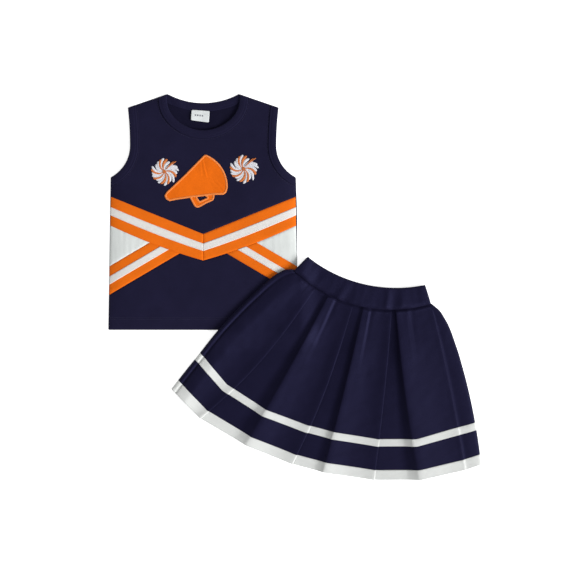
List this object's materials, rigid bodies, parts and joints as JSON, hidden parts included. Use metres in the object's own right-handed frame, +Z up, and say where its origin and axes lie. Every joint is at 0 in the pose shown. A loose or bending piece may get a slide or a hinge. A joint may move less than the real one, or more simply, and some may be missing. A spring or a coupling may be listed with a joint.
{
  "type": "cheer uniform",
  "caption": "Child's two-piece cheer uniform laid flat: sleeveless shell top with V bands, braids and megaphone applique, and a pleated skirt with white tapes lying on its corner.",
  "frame": {"origin": "centre of the laid-out pair's footprint, on the surface it lies on", "axes": "+Z up from the surface, +Y from the shell's hem towards its neck, +X towards the skirt"},
  "size_m": [0.5824, 0.5965, 0.0266],
  "materials": {
    "navy_knit": "matte double-knit polyester",
    "skirt_navy": "smooth polyester gabardine with a soft sheen",
    "orange_knit": "matte double-knit polyester",
    "white_knit": "matte double-knit polyester",
    "white_braid": "flat woven braid",
    "white_tape": "woven ribbon tape",
    "navy_rib": "ribbed knit binding",
    "orange_applique": "tackle twill",
    "orange_satin": "satin-stitched rayon thread",
    "white_satin": "satin-stitched rayon thread",
    "label_satin": "printed satin label",
    "elastic": "woven elastic"
  },
  "bodies": {
    "top": {"armhole_binding_left": "navy_rib", "armhole_binding_right": "navy_rib", "back_panel": "navy_knit", "diagonal_band_left": "orange_knit", "diagonal_band_right": "orange_knit", "diagonal_braid_left": "white_braid", "diagonal_braid_right": "white_braid", "front_lower_panel": "navy_knit", "front_yoke": "navy_knit", "megaphone_border": "orange_satin", "megaphone_patch": "orange_applique", "neckband_back": "navy_rib", "neckband_front": "navy_rib", "pompom_left_orange": "orange_satin", "pompom_left_white": "white_satin", "pompom_right_orange": "orange_satin", "pompom_right_white": "white_satin", "shoulder_seam_left": "navy_knit", "shoulder_seam_right": "navy_knit", "side_insert_left": "white_knit", "side_insert_right": "white_knit", "side_seam_left": "navy_knit", "side_seam_right": "navy_knit", "v_band_left": "orange_knit", "v_band_right": "orange_knit", "v_braid_left": "white_braid", "v_braid_right": "white_braid"},
    "neck_label": {"neck_label": "label_satin"},
    "skirt": {"skirt_hem_tape_back": "white_tape", "skirt_hem_tape_front": "white_tape", "skirt_panel_back": "skirt_navy", "skirt_panel_front": "skirt_navy", "skirt_side_seam_left": "skirt_navy", "skirt_side_seam_right": "skirt_navy", "skirt_tape_back": "white_tape", "skirt_tape_front": "white_tape", "waist_elastic": "elastic", "waistband": "skirt_navy"}
  },
  "joints": [
    {"name": "label_flip", "type": "hinge", "parent": "top", "child": "neck_label", "pos_m": [-0.14858, 0.27262, 0.0025], "axis": [-0.9976, 0.0698, 0], "range_deg": [0, 170]},
    {"name": "skirt_lift", "type": "slide", "parent": "top", "child": "skirt", "axis": [0, 0, 1], "range_m": [0, 0.15]}
  ]
}
